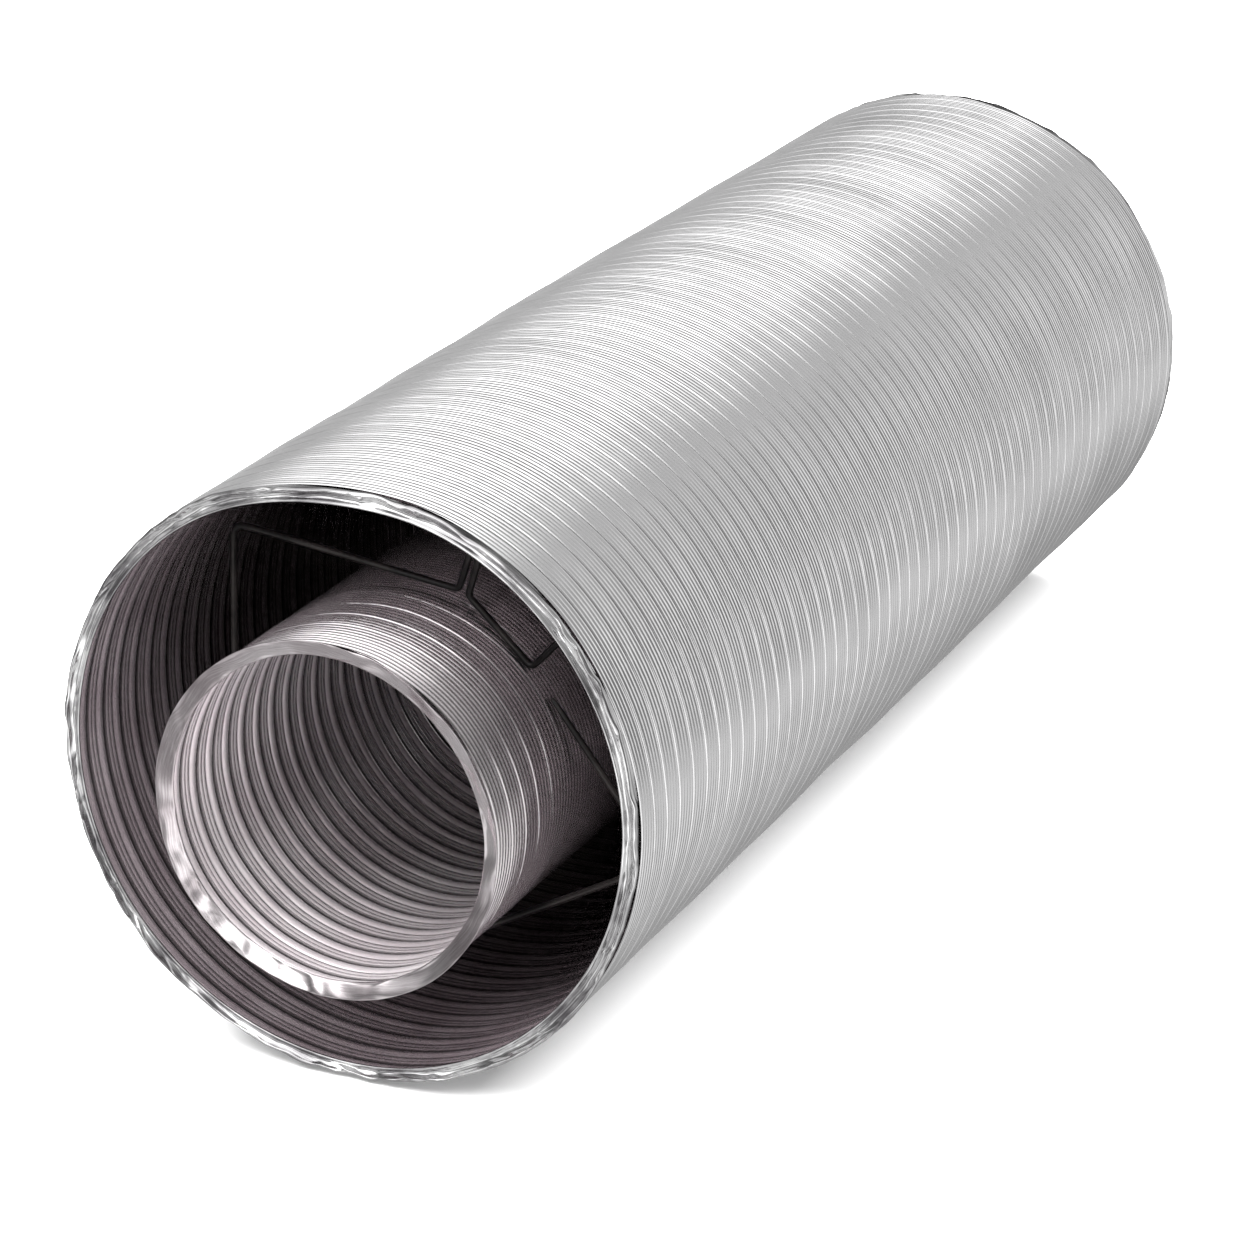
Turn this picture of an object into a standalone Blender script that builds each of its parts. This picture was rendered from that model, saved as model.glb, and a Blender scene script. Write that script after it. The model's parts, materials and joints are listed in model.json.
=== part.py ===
"""Concentric flexible air duct: a spiral-wound aluminium outer duct, a smaller one inside it,
and bent wire spacers that hold the two apart.

The duct lies on its side along Y, front mouth towards -Y, in metres with +Z up. The real walls are
continuous and flex everywhere. Here each duct is a row of short rings, and every gap between two
rings is a joint: odd gaps pull open along the duct (stretch), even gaps open like a hinge about
the left edge (bend).
"""

import math

import bmesh
import bpy
from mathutils import Vector

# Driving dimensions, in metres.
OUTER_DIAMETER = 0.184  # over the corrugations of a 7 inch (178 mm) duct
OUTER_WALL = 0.003  # depth of the corrugations
INNER_DIAMETER = 0.107  # over the corrugations of a 4 inch (102 mm) duct
INNER_WALL = 0.0027
LENGTH = 0.500  # both ducts, pushed together
INNER_AHEAD = 0.012  # the inner duct stands out of the front mouth
INNER_DROP = 0.006  # and rests low on its spacers
SECTIONS = 17
GAP = 0.0003  # between rings that move apart

LIP_LENGTH = 0.004  # the cut edge at each mouth
OUTER_LIP_INWARD = 0.0012  # the outer duct's edge curls in
INNER_LIP_OUTWARD = 0.001  # the inner duct's edge flares out

WIRE_DIAMETER = 0.0023
WIRE_CLEARANCE = 0.00035
WIRE_BEND_RADIUS = 0.004
SPACER_REACH = 0.0865  # from the outer duct's axis to the wire at its feet
LEFT_FOOT_REACH = 0.0815  # the top left foot stops short of the outer duct
# Angles round the duct in degrees, from the top towards +X.
LEFT_FOOT_ANGLE = -42.0
LOW_LEFT_FOOT_ANGLE = -139.0
RIGHT_FOOT_ANGLE = 106.0
HAIRPIN_TOP_ANGLES = (19.6, 21.6)
HAIRPIN_BASES = (Vector((0.0191, 0.0504)), Vector((0.0220, 0.0492)))
HAIRPIN_BEND = 0.00128
HOOK_ANGLE = 49.5
SPACER_SECTIONS = {"front": 2, "middle": 9, "rear": 16}

OUTER_SIDES = 40
INNER_SIDES = 32
WIRE_SIDES = 8
ARC_STEP = 7.0  # degrees between points where the wire follows the inner duct

OUTER_RADIUS = OUTER_DIAMETER / 2
INNER_RADIUS = INNER_DIAMETER / 2
PITCH = LENGTH / SECTIONS
AXIS_HEIGHT = OUTER_RADIUS
OUTER_START = -(LENGTH - INNER_AHEAD) / 2  # so that the whole object is centred on Y = 0
INNER_START = OUTER_START - INNER_AHEAD


# Helpers


def clear_scene():
    for obj in list(bpy.data.objects):
        bpy.data.objects.remove(obj, do_unlink=True)


def make_material(name, colour, roughness, metallic):
    material = bpy.data.materials.new(name)
    material.use_nodes = True
    shader = material.node_tree.nodes["Principled BSDF"]
    shader.inputs["Base Color"].default_value = (*colour, 1.0)
    shader.inputs["Roughness"].default_value = roughness
    shader.inputs["Metallic"].default_value = metallic
    material.diffuse_color = (*colour, 1.0)
    return material


def make_empty(name, place, parent=None):
    empty = bpy.data.objects.new(name, None)
    empty.empty_display_size = 0.02
    bpy.context.scene.collection.objects.link(empty)
    parent_place = Vector((0.0, 0.0, 0.0))
    if parent is not None:
        empty.parent = parent
        parent_place = Vector(parent["place"])
    empty["place"] = tuple(place)
    empty.location = Vector(place) - parent_place
    return empty


def make_solid(name, bm, place, parent, material):
    """Turns bm, whose points are relative to place, into an object of the parent empty."""
    bmesh.ops.recalc_face_normals(bm, faces=bm.faces)
    for face in bm.faces:
        face.smooth = True
    mesh = bpy.data.meshes.new(name)
    bm.to_mesh(mesh)
    bm.free()
    mesh.materials.append(material)
    obj = bpy.data.objects.new(name, mesh)
    bpy.context.scene.collection.objects.link(obj)
    obj.parent = parent
    obj.location = Vector(place) - Vector(parent["place"])
    return obj


# Duct rings


def ring_points(bm, y, apothem, sides):
    """One round of points, turned so that a flat side faces straight down."""
    radius = apothem / math.cos(math.pi / sides)
    points = []
    for i in range(sides):
        angle = 2 * math.pi * (i + 0.5) / sides
        points.append(bm.verts.new((radius * math.sin(angle), y, radius * math.cos(angle))))
    return points


def join_rounds(bm, first, second):
    count = len(first)
    for i in range(count):
        j = (i + 1) % count
        bm.faces.new((first[i], first[j], second[j], second[i]))


def ring_solid(profile, sides):
    """A tube round Y. profile lists (y, outside radius, inside radius) from front to rear."""
    bm = bmesh.new()
    outside = [ring_points(bm, y, r_out, sides) for y, r_out, _ in profile]
    inside = [ring_points(bm, y, r_in, sides) for y, _, r_in in profile]
    for rounds in (outside, inside):
        for first, second in zip(rounds, rounds[1:]):
            join_rounds(bm, first, second)
    join_rounds(bm, outside[0], inside[0])
    join_rounds(bm, outside[-1], inside[-1])
    return bm


def section_profile(index, r_out, r_in, lip_out, lip_in):
    """The profile of one ring, measured from its front face. The first and last have a lip."""
    length = PITCH - GAP
    profile = [(0.0, r_out, r_in), (length, r_out, r_in)]
    if index == 1:
        profile = [(0.0, lip_out, lip_in), (LIP_LENGTH, r_out, r_in), (length, r_out, r_in)]
    if index == SECTIONS:
        profile = [(0.0, r_out, r_in), (length - LIP_LENGTH, r_out, r_in), (length, lip_out, lip_in)]
    return profile


def add_outer_section(index, parent, material):
    r_in = OUTER_RADIUS - OUTER_WALL
    profile = section_profile(index, OUTER_RADIUS, r_in, OUTER_RADIUS, r_in - OUTER_LIP_INWARD)
    place = (0.0, OUTER_START + (index - 1) * PITCH + GAP / 2, AXIS_HEIGHT)
    bm = ring_solid(profile, OUTER_SIDES)
    return make_solid(f"outer_duct_section_{index:02d}", bm, place, parent, material)


def add_inner_section(index, parent, material):
    r_in = INNER_RADIUS - INNER_WALL
    lip_out = INNER_RADIUS + INNER_LIP_OUTWARD
    profile = section_profile(index, INNER_RADIUS, r_in, lip_out, r_in + INNER_LIP_OUTWARD)
    place = (0.0, INNER_START + (index - 1) * PITCH + GAP / 2, AXIS_HEIGHT - INNER_DROP)
    bm = ring_solid(profile, INNER_SIDES)
    return make_solid(f"inner_duct_section_{index:02d}", bm, place, parent, material)


# Wire spacers, drawn in the plane across the duct: x to the right, z up from the outer axis.


def on_circle(radius, degrees, centre=(0.0, 0.0)):
    angle = math.radians(degrees)
    return Vector((centre[0] + radius * math.sin(angle), centre[1] + radius * math.cos(angle)))


def arc(radius, start, end, centre):
    count = max(1, math.ceil(abs(end - start) / ARC_STEP))
    step = (end - start) / count
    return [on_circle(radius, start + i * step, centre) for i in range(count + 1)]


def tangent_angles(point, radius, centre):
    """Where the two straight wires from point touch a circle, as angles round its centre."""
    away = point - Vector(centre)
    middle = math.degrees(math.atan2(away.x, away.y))
    half = math.degrees(math.acos(radius / away.length))
    return middle - half, middle + half


def spacer_path():
    """The bent wire's centre line. Each corner is (point, bend radius), 0 where it runs on."""
    centre = (0.0, -INNER_DROP)
    around = INNER_RADIUS / math.cos(math.pi / INNER_SIDES) + WIRE_CLEARANCE + WIRE_DIAMETER / 2
    left = on_circle(LEFT_FOOT_REACH, LEFT_FOOT_ANGLE)
    low_left = on_circle(SPACER_REACH, LOW_LEFT_FOOT_ANGLE)
    right = on_circle(SPACER_REACH, RIGHT_FOOT_ANGLE)
    low_touch = tangent_angles(low_left, around, centre)[0]
    right_start, right_end = tangent_angles(right, around, centre)
    first_top, second_top = (on_circle(SPACER_REACH, angle) for angle in HAIRPIN_TOP_ANGLES)
    tail = right.lerp(on_circle(around, right_start, centre), 0.9)

    bend = WIRE_BEND_RADIUS
    corners = [(on_circle(SPACER_REACH, HOOK_ANGLE), 0.0)]
    corners += [(on_circle(around, HOOK_ANGLE, centre), bend / 2)]
    lift_off = tangent_angles(HAIRPIN_BASES[1], around, centre)[1]
    corners += [(p, 0.0) for p in arc(around, HOOK_ANGLE - 6, lift_off, centre)]
    corners += [(HAIRPIN_BASES[1], bend / 2)]
    corners += [(second_top, HAIRPIN_BEND), (first_top, HAIRPIN_BEND)]
    corners += [(HAIRPIN_BASES[0], bend / 2)]
    corners += [(left, bend), (low_left, bend)]
    corners += [(p, 0.0) for p in arc(around, low_touch % 360, right_end, centre)]
    corners += [(right, bend), (tail, 0.0)]
    return round_corners(corners)


def round_corners(corners, steps=3):
    """Replaces each corner that has a bend radius with a short arc."""
    path = [corners[0][0]]
    for (before, _), (corner, radius), (after, _) in zip(corners, corners[1:], corners[2:]):
        if radius == 0.0:
            path.append(corner)
            continue
        back = (before - corner).normalized()
        ahead = (after - corner).normalized()
        half = back.angle(ahead) / 2
        middle = corner + (back + ahead).normalized() * radius / math.sin(half)
        reach = radius / math.tan(half)
        first = corner + back * reach - middle
        last = corner + ahead * reach - middle
        for i in range(steps + 1):
            path.append(middle + first.slerp(last, i / steps).normalized() * radius)
    path.append(corners[-1][0])
    return path


def wire_solid(path):
    """Sweeps a round wire along a path that lies in the plane across the duct."""
    bm = bmesh.new()
    across = Vector((0.0, 1.0, 0.0))
    points = [Vector((p.x, 0.0, p.y)) for p in path]
    rounds = []
    for i, point in enumerate(points):
        back = (point - points[i - 1]).normalized() if i else None
        ahead = (points[i + 1] - point).normalized() if i + 1 < len(points) else None
        along = ((back or ahead) + (ahead or back)).normalized()
        stretch = 1.0 / along.dot(ahead or back)
        side = along.cross(across) * stretch
        round_ = []
        for j in range(WIRE_SIDES):
            angle = 2 * math.pi * (j + 0.5) / WIRE_SIDES
            offset = side * math.cos(angle) + across * math.sin(angle)
            round_.append(bm.verts.new(point + offset * WIRE_DIAMETER / 2))
        rounds.append(round_)
    for first, second in zip(rounds, rounds[1:]):
        join_rounds(bm, first, second)
    bm.faces.new(rounds[0])
    bm.faces.new(rounds[-1])
    return bm


def add_spacer(name, index, parent, material):
    """A spacer halfway along the stretch that both rings of the section share."""
    y = OUTER_START + (index - 0.5) * PITCH - INNER_AHEAD / 2
    place = (0.0, y, AXIS_HEIGHT)
    return make_solid(f"spacer_wire_{name}", wire_solid(spacer_path()), place, parent, material)


# Assembly


def joint_place(index):
    """Where section index joins the one before: on the left edge for a bend, the axis otherwise."""
    y = OUTER_START + (index - 1) * PITCH
    bends = index % 2 == 1 and index > 1
    return (-OUTER_RADIUS if bends else 0.0, y, AXIS_HEIGHT)


def build():
    clear_scene()
    outer_metal = make_material("outer_aluminium", (0.78, 0.79, 0.80), 0.32, 1.0)
    inner_metal = make_material("inner_aluminium", (0.74, 0.73, 0.74), 0.30, 1.0)
    wire_metal = make_material("spacer_wire_steel", (0.05, 0.05, 0.05), 0.45, 1.0)
    parent = None
    for index in range(1, SECTIONS + 1):
        parent = make_empty(f"section_{index:02d}", joint_place(index), parent)
        add_outer_section(index, parent, outer_metal)
        add_inner_section(index, parent, inner_metal)
        for name, spacer_index in SPACER_SECTIONS.items():
            if spacer_index == index:
                add_spacer(name, index, parent, wire_metal)


build()
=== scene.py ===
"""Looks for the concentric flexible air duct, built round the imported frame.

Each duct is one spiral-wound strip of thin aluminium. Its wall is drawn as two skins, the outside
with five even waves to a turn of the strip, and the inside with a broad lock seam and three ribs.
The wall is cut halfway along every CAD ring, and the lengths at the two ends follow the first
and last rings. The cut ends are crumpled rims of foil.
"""

import json
import math

import bpy
import numpy as np
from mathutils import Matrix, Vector

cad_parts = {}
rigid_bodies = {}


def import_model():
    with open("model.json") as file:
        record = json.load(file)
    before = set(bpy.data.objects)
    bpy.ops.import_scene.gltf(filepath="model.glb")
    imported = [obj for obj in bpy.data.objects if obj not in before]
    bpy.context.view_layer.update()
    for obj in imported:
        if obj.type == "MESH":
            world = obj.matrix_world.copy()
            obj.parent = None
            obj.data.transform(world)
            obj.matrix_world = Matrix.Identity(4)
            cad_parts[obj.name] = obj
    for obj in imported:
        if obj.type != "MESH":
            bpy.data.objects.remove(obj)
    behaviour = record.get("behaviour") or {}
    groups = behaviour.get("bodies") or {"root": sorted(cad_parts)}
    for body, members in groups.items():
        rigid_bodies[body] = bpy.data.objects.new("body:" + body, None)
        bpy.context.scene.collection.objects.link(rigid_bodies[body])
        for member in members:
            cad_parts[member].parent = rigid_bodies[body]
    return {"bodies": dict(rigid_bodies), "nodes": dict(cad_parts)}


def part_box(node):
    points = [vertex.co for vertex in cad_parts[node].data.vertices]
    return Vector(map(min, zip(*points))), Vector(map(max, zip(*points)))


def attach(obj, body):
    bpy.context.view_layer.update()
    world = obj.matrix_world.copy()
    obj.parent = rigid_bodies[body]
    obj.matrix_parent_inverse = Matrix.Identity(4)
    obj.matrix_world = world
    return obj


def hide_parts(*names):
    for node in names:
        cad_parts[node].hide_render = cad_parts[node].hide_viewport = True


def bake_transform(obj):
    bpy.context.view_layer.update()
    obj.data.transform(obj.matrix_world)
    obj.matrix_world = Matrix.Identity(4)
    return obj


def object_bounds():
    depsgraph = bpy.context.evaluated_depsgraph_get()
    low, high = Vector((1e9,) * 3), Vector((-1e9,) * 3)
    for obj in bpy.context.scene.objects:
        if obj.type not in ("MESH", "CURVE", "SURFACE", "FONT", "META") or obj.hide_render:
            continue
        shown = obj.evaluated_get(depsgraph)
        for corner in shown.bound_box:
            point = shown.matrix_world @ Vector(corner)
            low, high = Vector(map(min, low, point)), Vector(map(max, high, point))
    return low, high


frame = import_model()
cad_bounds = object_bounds()

MM = 0.001
FULL_TURN = 2 * math.pi

TURNS = 54  # turns of the strip along each duct
WAVES = 5  # fine waves in one turn, seen from outside
SEAM_WIDTH = 0.42  # the lock seam's share of one turn, seen from inside
RIBS = 3  # narrow ribs in the rest of the turn
ROWS_PER_SECTION = 128


# The frame: where each duct is, and where its rings join.

SECTION_NAMES = sorted(frame["bodies"])
FIRST, LAST = SECTION_NAMES[0], SECTION_NAMES[-1]


class Duct:
    """One duct's size and place, read from its rings.

    wall is from the crests outside to the grooves inside, depth that of the fine waves outside,
    seam_depth that of the groove along the seam outside, and rib how far the seam stands in.
    """

    def __init__(self, name, columns, wall, depth, seam_depth, rib, slot):
        self.name = name
        self.slot = slot
        self.nodes = [f"{name}_duct_{section}" for section in SECTION_NAMES]
        boxes = [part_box(node) for node in self.nodes]
        low, high = boxes[1]
        self.radius = (high.z - low.z) / 2
        self.height = (high.z + low.z) / 2
        self.start = boxes[0][0].y
        self.end = boxes[-1][1].y
        self.middles = [(b[0].y + b[1].y) / 2 for b in boxes]
        self.lay = (self.end - self.start) / TURNS
        self.columns = columns
        self.wall = wall
        self.depth = depth
        self.seam_depth = seam_depth
        self.rib = rib


OUTER = Duct(
    "outer",
    columns=176,
    wall=1.25 * MM,
    depth=0.60 * MM,
    seam_depth=0.75 * MM,
    rib=1.10 * MM,
    slot="outer_aluminium",
)
INNER = Duct(
    "inner",
    columns=128,
    wall=1.15 * MM,
    depth=0.70 * MM,
    seam_depth=0.25 * MM,
    rib=0.90 * MM,
    slot="inner_aluminium",
)


# Waves and unevenness

WAVELENGTH_SPREAD = (0.7, 2.5)
USUAL_PEAK = 1.6  # of a sum of random sines, over its root mean square
MOUTH_LEAN = 1.6 * MM
LEAN_REACH = 50 * MM  # how far in the lean lasts
SEAM_WANDER = 0.3 * MM
SEAM_GROOVE_WIDTH = 0.030  # in turns of the strip
GROOVE_ROUNDING = 0.015  # of the grooves between the fine waves
SEAM_FULLNESS = 0.8  # below 1 the seam's rib is flatter on top
RIB_HEIGHT = 0.36  # of the narrow ribs, as a share of the seam's
BROAD_RIPPLE = 0.22 * MM
CLOSE_RIPPLE = 0.07 * MM
MOUTH_DENT = 2.2 * MM  # at the top of the outer duct's mouth
DENT_REACH = 45 * MM
DENT_AT = (-3, 22)  # middle and width in degrees
MIDDLE_BULGE = 0.9 * MM  # on the upper left, halfway along the outer duct
BULGE_AT = (-50, 60)
MOST_BULGE = 1.2 * MM  # of all of these together


def ripple(theta, y, seed, count, most_round, length):
    """Smooth unevenness, near -1 to 1: a sum of count sines, each with up to most_round waves
    round the duct, and along it a wavelength of length times a random spread."""
    rng = np.random.RandomState(seed)
    total = np.zeros(np.broadcast(theta, y).shape)
    for _ in range(count):
        turns = rng.randint(-most_round, most_round + 1)
        along = FULL_TURN / (length * rng.uniform(*WAVELENGTH_SPREAD))
        total += np.sin(turns * theta + along * y + rng.uniform(0, FULL_TURN))
    return total / math.sqrt(count / 2) / USUAL_PEAK


def near(theta, middle, width):
    """1 at the middle angle, falling towards 0 past width either side, in degrees."""
    off = (theta - math.radians(middle) + math.pi) % FULL_TURN - math.pi
    return np.exp(-((off / math.radians(width)) ** 2))


def strip_phase(duct, theta, y):
    """Turns of the strip from the front mouth. The seam is where it is a whole number.
    The first turns lean back on the right, where the mouth was cut and pulled."""
    lean = MOUTH_LEAN * np.sin(theta) * np.exp(-(y - duct.start) / LEAN_REACH)
    lean = lean + SEAM_WANDER * ripple(theta, y, seed=11, count=6, most_round=3, length=0.06)
    return (y - duct.start - lean) / duct.lay - theta / FULL_TURN


def outside_waves(duct, phase):
    """Even fine waves, with a deeper groove along the seam."""
    across = phase % 1.0
    wave = np.sqrt(np.sin(math.pi * WAVES * across) ** 2 + GROOVE_ROUNDING)
    from_seam = np.minimum(across, 1 - across)
    groove = duct.seam_depth * np.exp(-((from_seam / SEAM_GROOVE_WIDTH) ** 2))
    return -duct.depth * (1 - wave) - groove


def inside_waves(duct, phase):
    """The lock seam is a broad rib over four tenths of the strip, and three narrow ribs follow."""
    across = phase % 1.0
    broad = np.clip(across / SEAM_WIDTH, 0, 1)
    seam = np.sin(math.pi * broad) ** SEAM_FULLNESS
    fine = np.abs(np.sin(math.pi * RIBS * (across - SEAM_WIDTH) / (1 - SEAM_WIDTH)))
    return -np.where(across < SEAM_WIDTH, duct.rib * seam, duct.rib * RIB_HEIGHT * fine)


def body_shape(duct, theta, y):
    """How far the duct is out of true, in metres along the radius."""
    broad = ripple(theta, y, seed=21, count=9, most_round=5, length=0.09)
    close = ripple(theta, y, seed=22, count=12, most_round=16, length=0.035)
    shape = BROAD_RIPPLE * broad + CLOSE_RIPPLE * close
    if duct is OUTER:
        from_mouth = y - duct.start
        along = np.clip(from_mouth / (duct.end - duct.start), 0, 1)
        dent = near(theta, *DENT_AT) * np.exp(-((from_mouth / DENT_REACH) ** 2))
        bulge = near(theta, *BULGE_AT) * np.sin(math.pi * along)
        shape = shape - MOUTH_DENT * dent + MIDDLE_BULGE * bulge
        shape = np.minimum(shape, MOST_BULGE)
    return shape


def skin_radius(duct, theta, y, inside):
    """Distance from the duct's axis to its inside or outside skin."""
    phase = strip_phase(duct, theta, y)
    radius = duct.radius + body_shape(duct, theta, y)
    if inside:
        return radius - duct.wall + inside_waves(duct, phase)
    return radius + outside_waves(duct, phase)


def around(duct, radius, theta, y):
    """Points at an angle from the top towards +X, and a distance from the duct's axis."""
    return np.stack(
        [radius * np.sin(theta), y + 0 * theta, duct.height + radius * np.cos(theta)], axis=-1
    )


def grid_normals(points, outward=True):
    """Normals of a grid of points that closes round its second axis."""
    along = np.gradient(points, axis=0)
    across = np.roll(points, -1, axis=1) - np.roll(points, 1, axis=1)
    normals = np.cross(along, across)
    normals /= np.linalg.norm(normals, axis=-1, keepdims=True) + 1e-12
    return normals if outward else -normals


def make_mesh(name, grids, materials):
    """One mesh of several grids that close round. Each is (points, normals, facing out, material
    slot, phase across the strip). The phase is kept as a point on a circle, to close as well."""
    corners, places, normals, slots, strips = [], [], [], [], []
    base = 0
    for points, grid_normal, outward, slot, phase in grids:
        rows, columns = points.shape[:2]
        index = base + np.arange(rows * columns).reshape(rows, columns)
        a, d = index[:-1], index[1:]
        b, c = np.roll(a, -1, axis=1), np.roll(d, -1, axis=1)
        order = (a, d, c, b) if outward else (a, b, c, d)
        quads = np.stack(order, axis=-1).reshape(-1, 4)
        corners.append(quads)
        places.append(points.reshape(-1, 3))
        normals.append(grid_normal.reshape(-1, 3))
        slots.append(np.full(len(quads), slot))
        turn = FULL_TURN * np.broadcast_to(phase, (rows, columns)).ravel()
        strips.append(np.stack([np.cos(turn), np.sin(turn), 0 * turn], axis=-1))
        base += rows * columns
    corners, places = np.concatenate(corners), np.concatenate(places)
    normals, slots = np.concatenate(normals), np.concatenate(slots)
    mesh = bpy.data.meshes.new(name)
    mesh.vertices.add(len(places))
    mesh.vertices.foreach_set("co", places.astype(np.float32).ravel())
    mesh.loops.add(corners.size)
    mesh.loops.foreach_set("vertex_index", corners.astype(np.int32).ravel())
    mesh.polygons.add(len(corners))
    mesh.polygons.foreach_set("loop_start", np.arange(0, corners.size, 4, dtype=np.int32))
    mesh.polygons.foreach_set("material_index", slots.astype(np.int32))
    mesh.polygons.foreach_set("use_smooth", np.ones(len(corners), bool))
    for material in materials:
        mesh.materials.append(material)
    rest = mesh.attributes.new("rest", "FLOAT_VECTOR", "POINT")
    rest.data.foreach_set("vector", places.astype(np.float32).ravel())
    strip = mesh.attributes.new("strip", "FLOAT_VECTOR", "POINT")
    strip.data.foreach_set("vector", np.concatenate(strips).astype(np.float32).ravel())
    mesh.update(calc_edges=True)
    mesh.validate()
    mesh.normals_split_custom_set_from_vertices(normals.tolist())
    piece = bpy.data.objects.new(name, mesh)
    bpy.context.scene.collection.objects.link(piece)
    return piece


# Materials


class Nodes:
    """A short way to write a node tree."""

    def __init__(self, tree):
        self.tree = tree

    def add(self, kind, **settings):
        node = self.tree.nodes.new(kind)
        for key, value in settings.items():
            setattr(node, key, value)
        return node

    def put(self, value, socket):
        """Links a socket, or sets a plain value."""
        if isinstance(value, bpy.types.NodeSocket):
            self.tree.links.new(value, socket)
        else:
            socket.default_value = value

    def math(self, operation, *values):
        node = self.add("ShaderNodeMath", operation=operation)
        for value, socket in zip(values, node.inputs):
            self.put(value, socket)
        return node.outputs[0]

    def noise(self, vector, scale, detail=3.0, roughness=0.5):
        node = self.add("ShaderNodeTexNoise")
        self.put(vector, node.inputs["Vector"])
        node.inputs["Scale"].default_value = scale
        node.inputs["Detail"].default_value = detail
        node.inputs["Roughness"].default_value = roughness
        return node.outputs["Fac"]

    def remap(self, value, low, high, to_low=0.0, to_high=1.0):
        node = self.add("ShaderNodeMapRange", interpolation_type="SMOOTHSTEP")
        for given, socket in zip((value, low, high, to_low, to_high), node.inputs):
            self.put(given, socket)
        return node.outputs["Result"]

    def mix(self, share, first, second):
        node = self.add("ShaderNodeMix", data_type="RGBA")
        self.put(share, node.inputs["Factor"])
        colours = [s for s in node.inputs if s.type == "RGBA"]
        for value, socket in zip((first, second), colours):
            self.put((*value, 1.0) if isinstance(value, tuple) else value, socket)
        return [s for s in node.outputs if s.type == "RGBA"][0]

    def join(self, x, y, z):
        node = self.add("ShaderNodeCombineXYZ")
        for value, socket in zip((x, y, z), node.inputs):
            self.put(value, socket)
        return node.outputs[0]

    def split(self, vector):
        node = self.add("ShaderNodeSeparateXYZ")
        self.put(vector, node.inputs[0])
        return node.outputs

    def bump(self, height, strength, distance):
        node = self.add("ShaderNodeBump")
        node.inputs["Strength"].default_value = strength
        node.inputs["Distance"].default_value = distance
        self.put(height, node.inputs["Height"])
        return node.outputs[0]


GRAIN_ACROSS = 60.0  # streaks of rolling grain in one turn of the strip, about
GRAIN_ROUND = 90.0  # streaks in a metre round the duct, about
BLOTCH_SCALE = 38.0
DENT_SCALE = 420.0
ROLLED_SHARE, BLOTCH_SHARE = 0.35, 0.65  # in the tone
DULLER, SHINIER = 0.05, 0.04  # how far the roughness varies with the tone
GRAIN_STRENGTH = 0.35
GRAIN_HEIGHT = 0.06 * MM

WIRE_COLOURS = ((0.010, 0.009, 0.009), (0.032, 0.028, 0.027))
WIRE_ROUGHNESS = (0.28, 0.50)
WIRE_METALLIC = 0.6
WIRE_SCALE_HEIGHT = 0.08 * MM


def strip_coordinates(nodes, duct):
    """(phase across the strip, metres round the duct, rest place) as sockets."""
    rest = nodes.add("ShaderNodeAttribute", attribute_name="rest").outputs["Vector"]
    x, y, z = nodes.split(rest)
    angle = nodes.math("ARCTAN2", x, nodes.math("SUBTRACT", z, duct.height))
    turns = nodes.math("DIVIDE", nodes.math("SUBTRACT", y, duct.start), duct.lay)
    phase = nodes.math("SUBTRACT", turns, nodes.math("DIVIDE", angle, FULL_TURN))
    return phase, nodes.math("MULTIPLY", angle, duct.radius), rest


# Painted shade in the grooves, where little light reaches, each (grooves in one turn, place, half
# width, darkening). The place is in turns and the half width in the groove's own spacing.
OUTER_OUTSIDE_GROOVE_SHADE = ((1, 0.0, 0.080, 0.90), (WAVES, 0.0, 0.10, 0.30))
INNER_OUTSIDE_GROOVE_SHADE = ((1, 0.0, 0.060, 0.80), (WAVES, 0.0, 0.30, 0.93))
INSIDE_GROOVE_SHADE = (
    (1, 0.0, 0.050, 0.80),
    (1, 0.44, 0.150, 0.97),
    (1, 0.613, 0.035, 0.75),
    (1, 0.807, 0.035, 0.75),
)
# The colour that the painted shade in the grooves darkens towards
GROOVE_SHADE_COLOUR = (0.015, 0.012, 0.013)

# Well inside a duct less light arrives. The shade deepens between these distances from an end.
SHADE_START = 15 * MM
SHADE_END = 110 * MM

# A row of pressed dashes beside the lock seam, seen from inside.
DASH_ROW = 0.435  # in turns from the seam
DASH_ROW_EDGES = (0.012, 0.006)  # half widths, in turns, where a dash fades in and is full
DASH_SPACING = 2.1 * MM
DASH_EDGES = (0.20, 0.25)  # in spacings from the middle of the gap between two dashes
DASH_HEIGHT = 6.0  # against the height of the rolling grain


def groove_shade(nodes, grooves):
    """Painted shade for the grooves: 1 on the crests, falling towards 0 in the grooves."""
    strip = nodes.add("ShaderNodeAttribute", attribute_name="strip").outputs["Vector"]
    x, y, _ = nodes.split(strip)
    phase = nodes.math("DIVIDE", nodes.math("ARCTAN2", y, x), FULL_TURN)
    shade = 1.0
    for count, at, half_width, darkening in grooves:
        place = nodes.math("MULTIPLY", nodes.math("SUBTRACT", phase, at - 0.5 / count), count)
        off = nodes.math("ABSOLUTE", nodes.math("SUBTRACT", nodes.math("FRACT", place), 0.5))
        line = nodes.remap(off, 0.0, half_width, 1.0 - darkening, 1.0)
        shade = nodes.math("MULTIPLY", line, shade)
    return shade


def depth_shade(nodes, rest, duct, deep):
    """1 near each mouth, falling to deep well inside."""
    _, y, _ = nodes.split(rest)
    from_ends = nodes.math(
        "MINIMUM", nodes.math("SUBTRACT", y, duct.start), nodes.math("SUBTRACT", duct.end, y)
    )
    return nodes.remap(from_ends, SHADE_START, SHADE_END, 1.0, deep)


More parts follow.
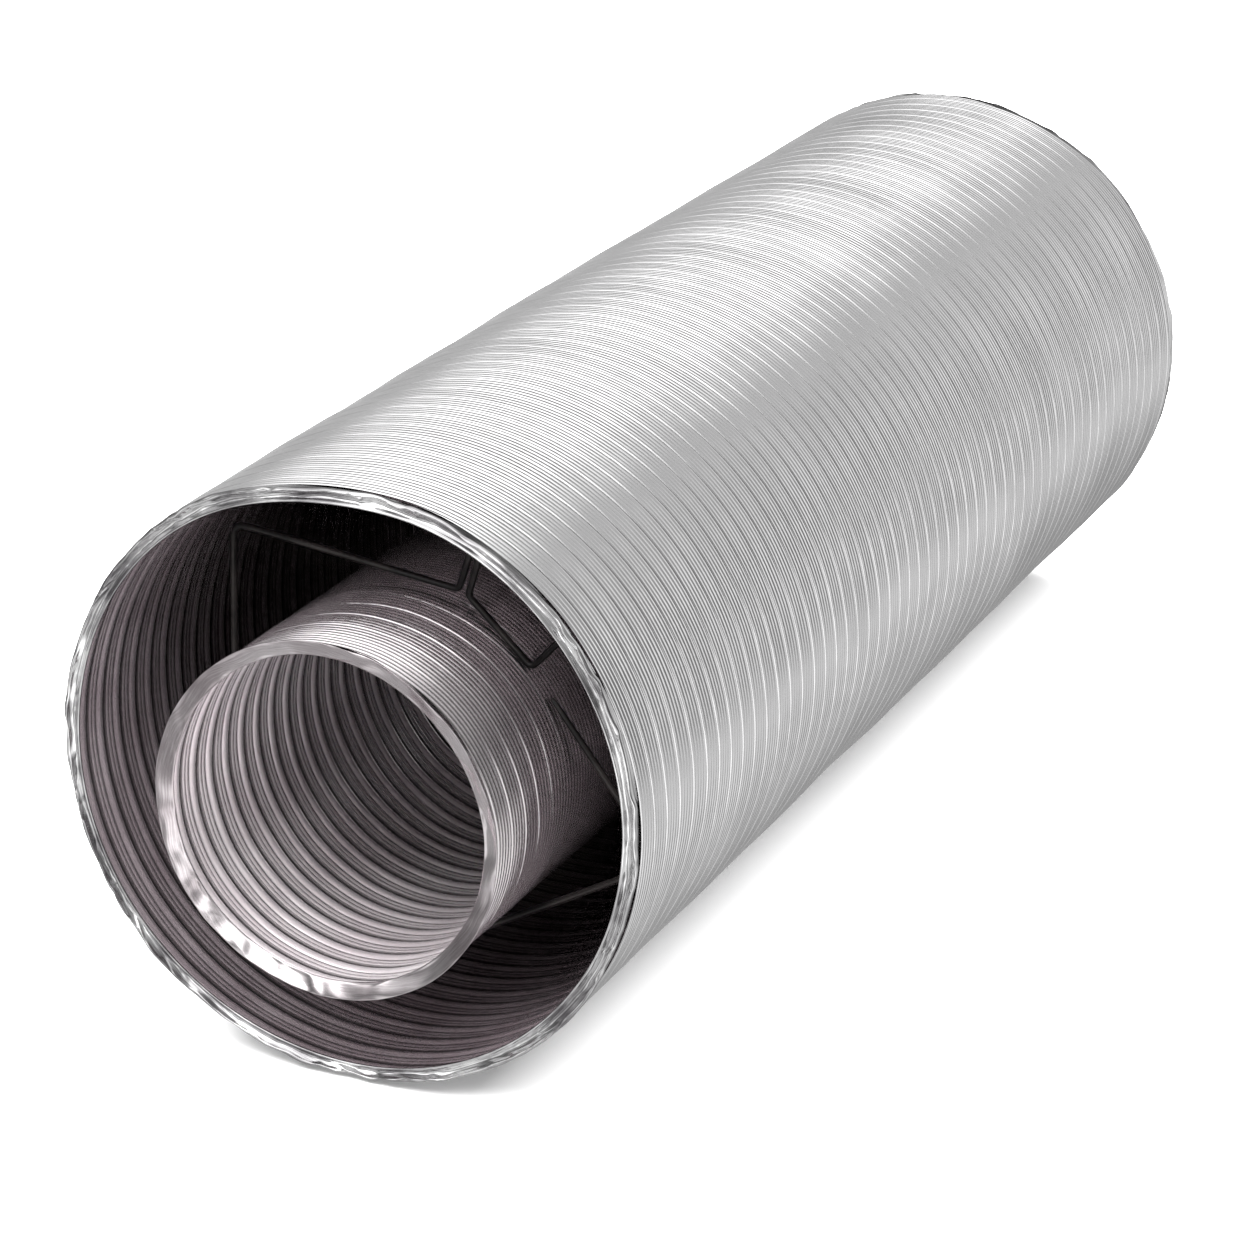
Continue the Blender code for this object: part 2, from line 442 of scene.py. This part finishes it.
def dash_row(nodes, phase, round_way, rest):
    """1 on the pressed dashes, 0 elsewhere, and worn away in patches."""
    across = nodes.math("FRACT", nodes.math("SUBTRACT", phase, DASH_ROW))
    from_row = nodes.math("ABSOLUTE", nodes.math("SUBTRACT", across, 0.5))
    row = nodes.remap(from_row, *(0.5 - edge for edge in DASH_ROW_EDGES))
    dash = nodes.math("FRACT", nodes.math("DIVIDE", round_way, DASH_SPACING))
    dash = nodes.remap(nodes.math("ABSOLUTE", nodes.math("SUBTRACT", dash, 0.5)), *DASH_EDGES)
    worn = nodes.remap(nodes.noise(rest, 30.0, 2.0), 0.45, 0.6)
    return nodes.math("MULTIPLY", nodes.math("MULTIPLY", row, dash), worn)


def aluminium(
    name, duct, bright, dull, roughness, dashes=False, grain=1.0, grooves=(), deep=1.0, metal=1.0
):
    """Bright rolled foil: mottled tone, rolling grain along the strip and small handling dents,
    with painted shade in the grooves. deep is the painted shade well inside the duct, and metal is
    below 1 where the sheet is dulled."""
    material = bpy.data.materials.new(name)
    material.use_nodes = True
    nodes = Nodes(material.node_tree)
    shader = material.node_tree.nodes["Principled BSDF"]
    phase, round_way, rest = strip_coordinates(nodes, duct)
    across = nodes.math("MULTIPLY", phase, GRAIN_ACROSS)
    along = nodes.math("MULTIPLY", round_way, GRAIN_ROUND)
    grain_place = nodes.join(across, along, 0.0)
    rolled = nodes.noise(grain_place, 1.0, 4.0, 0.6)
    blotch = nodes.noise(rest, BLOTCH_SCALE, 4.0, 0.55)
    fine = nodes.noise(rest, DENT_SCALE, 3.0, 0.5)
    blotches = nodes.math("MULTIPLY", blotch, BLOTCH_SHARE)
    tone = nodes.math("MULTIPLY_ADD", rolled, ROLLED_SHARE, blotches)
    colour = nodes.mix(nodes.remap(tone, 0.35, 0.65), dull, bright)
    # Painted shade: the colour darkens in the grooves, and with deep below 1 also well inside the
    # duct
    if grooves:
        shade = groove_shade(nodes, grooves)
        if deep < 1.0:
            shade = nodes.math("MULTIPLY", shade, depth_shade(nodes, rest, duct, deep))
        colour = nodes.mix(shade, GROOVE_SHADE_COLOUR, colour)
    nodes.put(colour, shader.inputs["Base Color"])
    rough = nodes.remap(tone, 0.3, 0.7, roughness + DULLER, roughness - SHINIER)
    height = nodes.math("MULTIPLY_ADD", rolled, 0.5, nodes.math("MULTIPLY", fine, 0.5))
    if dashes:
        mark = dash_row(nodes, phase, round_way, rest)
        height = nodes.math("MULTIPLY_ADD", mark, DASH_HEIGHT, height)
    nodes.put(rough, shader.inputs["Roughness"])
    nodes.put(nodes.bump(height, GRAIN_STRENGTH * grain, GRAIN_HEIGHT), shader.inputs["Normal"])
    shader.inputs["Metallic"].default_value = metal
    return material


def wire_material():
    """Dark drawn steel with a fine scale."""
    material = bpy.data.materials.new("dark_drawn_wire")
    material.use_nodes = True
    nodes = Nodes(material.node_tree)
    shader = material.node_tree.nodes["Principled BSDF"]
    place = nodes.add("ShaderNodeTexCoord").outputs["Object"]
    scale = nodes.noise(place, 240.0, 4.0, 0.6)
    blotch = nodes.noise(place, 55.0, 3.0)
    colour = nodes.mix(nodes.remap(blotch, 0.4, 0.65), *WIRE_COLOURS)
    nodes.put(colour, shader.inputs["Base Color"])
    nodes.put(nodes.remap(scale, 0.3, 0.7, *WIRE_ROUGHNESS), shader.inputs["Roughness"])
    nodes.put(nodes.bump(scale, 0.4, WIRE_SCALE_HEIGHT), shader.inputs["Normal"])
    shader.inputs["Metallic"].default_value = WIRE_METALLIC
    return material


# Duct walls

SPARE_ROWS = 2  # past each end of a length of wall, for the normals there


def wall_grids(duct, first_y, last_y, rows):
    """Both skins of a length of wall."""
    step = (last_y - first_y) / rows
    y = (first_y + step * np.arange(-SPARE_ROWS, rows + SPARE_ROWS + 1))[:, None]
    kept = slice(SPARE_ROWS, -SPARE_ROWS)
    theta = (FULL_TURN * np.arange(duct.columns) / duct.columns)[None, :]
    grids = []
    for inside, slot in ((False, 0), (True, 1)):
        points = around(duct, skin_radius(duct, theta, y, inside), theta, y)
        normals = grid_normals(points, outward=not inside)
        phase = strip_phase(duct, theta, y)
        grids.append((points[kept], normals[kept], not inside, slot, phase[kept]))
    return grids


def add_walls(duct, materials):
    """A length from the middle of each ring to the middle of the next, and half of one at each
    end, up to the rim."""
    half = ROWS_PER_SECTION // 2
    front = duct.start + RIM_LENGTH
    rear = duct.end - RIM_LENGTH
    piece = make_mesh(
        f"{duct.name}_duct_wall_front", wall_grids(duct, front, duct.middles[0], half), materials
    )
    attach(piece, FIRST)
    for i, (body, after) in enumerate(zip(SECTION_NAMES, SECTION_NAMES[1:])):
        first_y, last_y = duct.middles[i], duct.middles[i + 1]
        grids = wall_grids(duct, first_y, last_y, ROWS_PER_SECTION)
        piece = make_mesh(f"{duct.name}_duct_wall_{i + 1:02d}_{i + 2:02d}", grids, materials)
        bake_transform(piece)
        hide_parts(duct.nodes[i])
    piece = make_mesh(
        f"{duct.name}_duct_wall_rear", wall_grids(duct, duct.middles[-1], rear, half), materials
    )
    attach(piece, LAST)
    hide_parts(duct.nodes[-1])


# Rims: the cut ends, crumpled by hand

RIM_LENGTH = 3.2 * MM
RIM_COLUMNS = 900
PROFILE_STEPS = 5
CRUMPLE = 0.75 * MM
LIFT_SLANT, PUSH_SLANT = 0.10, 0.12  # how far creases turn across the rim, in radians, each way
TWIST_SWAY = 0.05

# Each corner is (share of crumpling, mm in from the end face, mm out from the duct's outside).
OUTER_RIM_CORNERS = (
    (0.0, 3.2, -0.45),
    (0.5, 2.1, -0.25),
    (0.9, 1.0, 0.0),
    (1.0, 0.25, -0.5),
    (1.0, 0.2, -1.1),
    (1.0, 1.0, -1.7),
    (0.9, 1.6, -2.5),
    (0.6, 1.4, -3.3),
    (0.2, 0.7, -3.9),
    (0.05, 0.35, -4.3),
    (0.0, 0.5, -4.65),
    (0.0, 1.1, -4.6),
    (0.0, 2.0, -3.6),
    (0.0, 3.2, -2.0),
)
INNER_RIM_CORNERS = (
    (0.0, 3.2, -0.4),
    (0.3, 2.2, -0.1),
    (0.7, 1.2, 0.5),
    (0.5, 0.35, 0.95),
    (0.4, 0.05, 0.95),
    (0.6, 0.15, 0.55),
    (1.0, 0.6, -0.5),
    (1.0, 1.1, -1.7),
    (0.8, 1.6, -2.9),
    (0.3, 1.9, -3.6),
    (0.0, 2.2, -3.8),
    (0.0, 2.6, -3.5),
    (0.0, 3.2, -2.2),
)

# Each rim is (corners, seed, number of creases, least and most width of one in degrees).
OUTER_RIM = (OUTER_RIM_CORNERS, 31, 130, 0.7, 3.5)
INNER_RIM = (INNER_RIM_CORNERS, 63, 46, 1.8, 6.0)
REAR_SEED = 100  # added to the seed for the rear end


def folds(theta, seed, count, narrow, wide):
    """Random creases round the rim, near -1 to 1, each with its own width in degrees."""
    rng = np.random.RandomState(seed)
    total = np.zeros_like(theta)
    for _ in range(count):
        middle, width = rng.uniform(0, 360), rng.uniform(narrow, wide)
        total += rng.uniform(-1, 1) * near(theta, middle, width)
    return np.tanh(total)


def smooth_profile(profile, steps):
    """A smooth run of points through the profile's corners (Catmull-Rom)."""
    points = np.array(profile)
    padded = np.vstack([2 * points[0] - points[1], points, 2 * points[-1] - points[-2]])
    found = []
    for i in range(len(points) - 1):
        a, b, c, d = padded[i : i + 4]
        for t in np.arange(steps) / steps:
            found.append(
                0.5
                * (
                    2 * b
                    + (c - a) * t
                    + (2 * a - 5 * b + 4 * c - d) * t**2
                    + (3 * b - a - 3 * c + d) * t**3
                )
            )
    found.append(points[-1])
    return np.array(found)


def add_rim(duct, at_front, material):
    """A turned-over edge whose creases slant a little from its outside to its inside."""
    corners, first_seed, count, narrow, wide = OUTER_RIM if duct is OUTER else INNER_RIM
    profile = smooth_profile(corners, PROFILE_STEPS)
    theta = (FULL_TURN * np.arange(RIM_COLUMNS) / RIM_COLUMNS)[None, :]
    share, inward, off = (profile[:, i][:, None] for i in range(3))
    seed = first_seed if at_front else first_seed + REAR_SEED
    place = np.linspace(0, 1, len(profile))[:, None]
    lift = folds(theta + LIFT_SLANT * place, seed, count, narrow, 2 * wide) * np.cos(2.2 * place)
    push = folds(theta - PUSH_SLANT * place, seed + 1, count, narrow, 1.5 * wide)
    sway = TWIST_SWAY * np.sin(9 * place)
    twist = folds(theta + sway, seed + 2, count, narrow, wide)
    twist = twist * np.sin(6 * place)
    inward = inward * MM + share * (0.8 * push + 0.5 * twist) * CRUMPLE
    radius = duct.radius + off * MM + share * (0.7 * lift + 0.5 * twist) * CRUMPLE
    y = duct.start + inward if at_front else duct.end - inward
    radius = radius + body_shape(duct, theta, y)
    points = around(duct, radius, theta, y)
    normals = grid_normals(points, outward=at_front)
    end = "front" if at_front else "rear"
    grid = (points, normals, at_front, 0, 0.0)
    piece = make_mesh(f"{duct.name}_duct_rim_{end}", [grid], [material])
    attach(piece, FIRST if at_front else LAST)


# Camera, lights and floor

CAMERA_PLACE = Vector((5.5985, -10.330, 5.011))  # from the front mouth's middle, in outer radii
CAMERA_LOOK = Vector((-0.3848, 0.8522, -0.3546))
CAMERA_LENS = 120.04  # mm, on a sensor 36 mm wide
CAMERA_SENSOR = 36.0

SOFTBOX_SIDE = 9.0
SOFTBOX_POWER = 2000.0
SOFTBOX_PLACE = (0.3, -0.2, 4.5)

FLOOR_HALF = 12.0
FLOOR_GAP = 1.2 * MM  # the uneven wall reaches a little below the CAD's underside
FLOOR_TONES = ((0.90, 0.90, 0.90), (0.93, 0.93, 0.93))


def add_camera():
    """From in front, above and to the right, as the duct is shown."""
    mouth = Vector((0.0, OUTER.start, OUTER.height))
    camera_data = bpy.data.cameras.new("camera")
    camera_data.lens = CAMERA_LENS
    camera_data.sensor_width = CAMERA_SENSOR
    camera = bpy.data.objects.new("camera", camera_data)
    camera.location = mouth + CAMERA_PLACE * OUTER.radius
    camera.rotation_mode = "QUATERNION"
    camera.rotation_quaternion = CAMERA_LOOK.to_track_quat("-Z", "Y")
    bpy.context.scene.collection.objects.link(camera)
    bpy.context.scene.camera = camera


def ramp(nodes, value, stops):
    """A grey ramp of value from 0 to 1 through (place, brightness) stops."""
    node = nodes.add("ShaderNodeValToRGB")
    nodes.put(value, node.inputs["Fac"])
    node.color_ramp.interpolation = "EASE"
    elements = node.color_ramp.elements
    while len(elements) > 1:
        elements.remove(elements[-1])
    elements[0].position = stops[0][0]
    elements[0].color = (stops[0][1],) * 3 + (1.0,)
    for place, brightness in stops[1:]:
        elements.new(place).color = (brightness,) * 3 + (1.0,)
    return node.outputs["Color"]


# Brightness of the studio by the angle round the duct's axis, each (degrees from up towards +X,
# brightness): past the rear of the duct, over and beside it, and in front of its mouth.
BEHIND = (
    (-180, 0.40),
    (-150, 0.45),
    (-120, 0.75),
    (-100, 0.90),
    (-85, 0.75),
    (-70, 0.45),
    (-50, 0.45),
    (-25, 0.15),
    (2, 0.15),
    (12, 0.25),
    (25, 0.45),
    (45, 0.70),
    (70, 0.90),
    (90, 0.85),
    (110, 0.65),
    (130, 0.28),
    (180, 0.35),
)
ABOVE = (
    (-180, 0.50),
    (-130, 0.50),
    (-95, 0.22),
    (-70, 0.12),
    (-50, 0.40),
    (-35, 1.40),
    (-20, 1.80),
    (8, 1.65),
    (20, 0.90),
    (32, 0.45),
    (50, 0.32),
    (75, 0.15),
    (95, 0.20),
    (112, 0.65),
    (130, 0.90),
    (150, 0.95),
    (180, 0.60),
)
AT_THE_MOUTH = (
    (-180, 0.40),
    (-150, 0.90),
    (-120, 0.95),
    (-95, 0.20),
    (-70, 0.60),
    (-45, 2.60),
    (10, 2.60),
    (40, 0.50),
    (75, 0.30),
    (100, 1.60),
    (130, 1.90),
    (155, 0.40),
    (180, 0.40),
)

MOUTH_TO_ABOVE = (-0.62, -0.42)  # where one turns into the next, as the y of the direction
ABOVE_TO_BEHIND = (-0.15, 0.35)


def add_studio_light():
    """Large soft panels all round, for the metal to reflect, and a softbox that lights the floor
    and the dulled insides but isn't reflected."""
    world = bpy.data.worlds.new("studio")
    bpy.context.scene.world = world
    world.use_nodes = True
    nodes = Nodes(world.node_tree)
    way = nodes.add("ShaderNodeTexCoord").outputs["Generated"]
    x, y, z = nodes.split(way)
    angle = nodes.math("MULTIPLY_ADD", nodes.math("ARCTAN2", x, z), 1 / FULL_TURN, 0.5)
    at_mouth, above, behind = (
        ramp(nodes, angle, [(degrees / 360 + 0.5, value) for degrees, value in stops])
        for stops in (AT_THE_MOUTH, ABOVE, BEHIND)
    )
    colour = nodes.mix(nodes.remap(y, *MOUTH_TO_ABOVE), at_mouth, above)
    colour = nodes.mix(nodes.remap(y, *ABOVE_TO_BEHIND), colour, behind)
    background = world.node_tree.nodes["Background"]
    nodes.put(colour, background.inputs["Color"])
    background.inputs["Strength"].default_value = 1.0

    light_data = bpy.data.lights.new("overhead_softbox", "AREA")
    light_data.shape = "RECTANGLE"
    light_data.size = SOFTBOX_SIDE
    light_data.size_y = SOFTBOX_SIDE
    light_data.energy = SOFTBOX_POWER
    light = bpy.data.objects.new("overhead_softbox", light_data)
    light.location = SOFTBOX_PLACE
    light.visible_glossy = False
    bpy.context.scene.collection.objects.link(light)


def add_floor():
    """Pale and plain, and out of the reflections."""
    material = bpy.data.materials.new("pale_floor")
    material.use_nodes = True
    nodes = Nodes(material.node_tree)
    shader = material.node_tree.nodes["Principled BSDF"]
    place = nodes.add("ShaderNodeTexCoord").outputs["Object"]
    nodes.put(nodes.mix(nodes.noise(place, 2.0), *FLOOR_TONES), shader.inputs["Base Color"])
    shader.inputs["Roughness"].default_value = 0.9
    shader.inputs["Specular IOR Level"].default_value = 0.1
    mesh = bpy.data.meshes.new("floor")
    corners = [(x * FLOOR_HALF, y * FLOOR_HALF, 0) for x, y in ((-1, -1), (1, -1), (1, 1), (-1, 1))]
    mesh.from_pydata(corners, [], [(0, 1, 2, 3)])
    mesh.materials.append(material)
    floor = bpy.data.objects.new("floor", mesh)
    floor.location.z = cad_bounds[0].z - FLOOR_GAP
    floor.visible_glossy = False
    bpy.context.scene.collection.objects.link(floor)


add_camera()
add_studio_light()
add_floor()

outer_out = aluminium(
    "outer_foil_outside",
    OUTER,
    bright=(0.96, 0.955, 0.96),
    dull=(0.87, 0.865, 0.87),
    roughness=0.19,
    grooves=OUTER_OUTSIDE_GROOVE_SHADE,
)
# The outer duct's inside is toned darker than its outside foil, as painted shade for the dark gap
# between the ducts
outer_in = aluminium(
    "outer_foil_inside",
    OUTER,
    bright=(0.72, 0.64, 0.67),
    dull=(0.50, 0.42, 0.45),
    roughness=0.12,
    dashes=True,
    grooves=INSIDE_GROOVE_SHADE,
    deep=0.35,
    metal=0.84,
)
inner_out = aluminium(
    "inner_foil_outside",
    INNER,
    bright=(0.94, 0.90, 0.91),
    dull=(0.82, 0.77, 0.79),
    roughness=0.15,
    grooves=INNER_OUTSIDE_GROOVE_SHADE,
    deep=0.45,
    metal=0.97,
)
inner_in = aluminium(
    "inner_foil_inside",
    INNER,
    bright=(0.93, 0.88, 0.895),
    dull=(0.80, 0.73, 0.755),
    roughness=0.18,
    dashes=True,
    grooves=INSIDE_GROOVE_SHADE,
    deep=0.6,
    metal=0.72,
)
rim_foil = aluminium(
    "rim_foil",
    OUTER,
    bright=(0.90, 0.90, 0.90),
    dull=(0.26, 0.25, 0.26),
    roughness=0.12,
    grain=1.4,
)
inner_rim_foil = aluminium(
    "inner_rim_foil",
    INNER,
    bright=(0.78, 0.735, 0.75),
    dull=(0.46, 0.41, 0.425),
    roughness=0.20,
)

add_walls(OUTER, [outer_out, outer_in])
add_walls(INNER, [inner_out, inner_in])
for at_front in (True, False):
    add_rim(OUTER, at_front, rim_foil)
    add_rim(INNER, at_front, inner_rim_foil)

# The spacer wires are the CAD's own, rounded.
WIRE_WELD = 0.01 * MM
WIRE_ROUNDING = 2
wire = wire_material()
for node_name, node in frame["nodes"].items():
    if node_name.startswith("spacer_wire"):
        node.data.materials.clear()
        node.data.materials.append(wire)
        node.modifiers.new("weld", "WELD").merge_threshold = WIRE_WELD
        rounding = node.modifiers.new("round", "SUBSURF")
        rounding.levels = WIRE_ROUNDING
        rounding.render_levels = WIRE_ROUNDING
        for polygon in node.data.polygons:
            polygon.use_smooth = True

bpy.context.scene.view_settings.view_transform = "Standard"
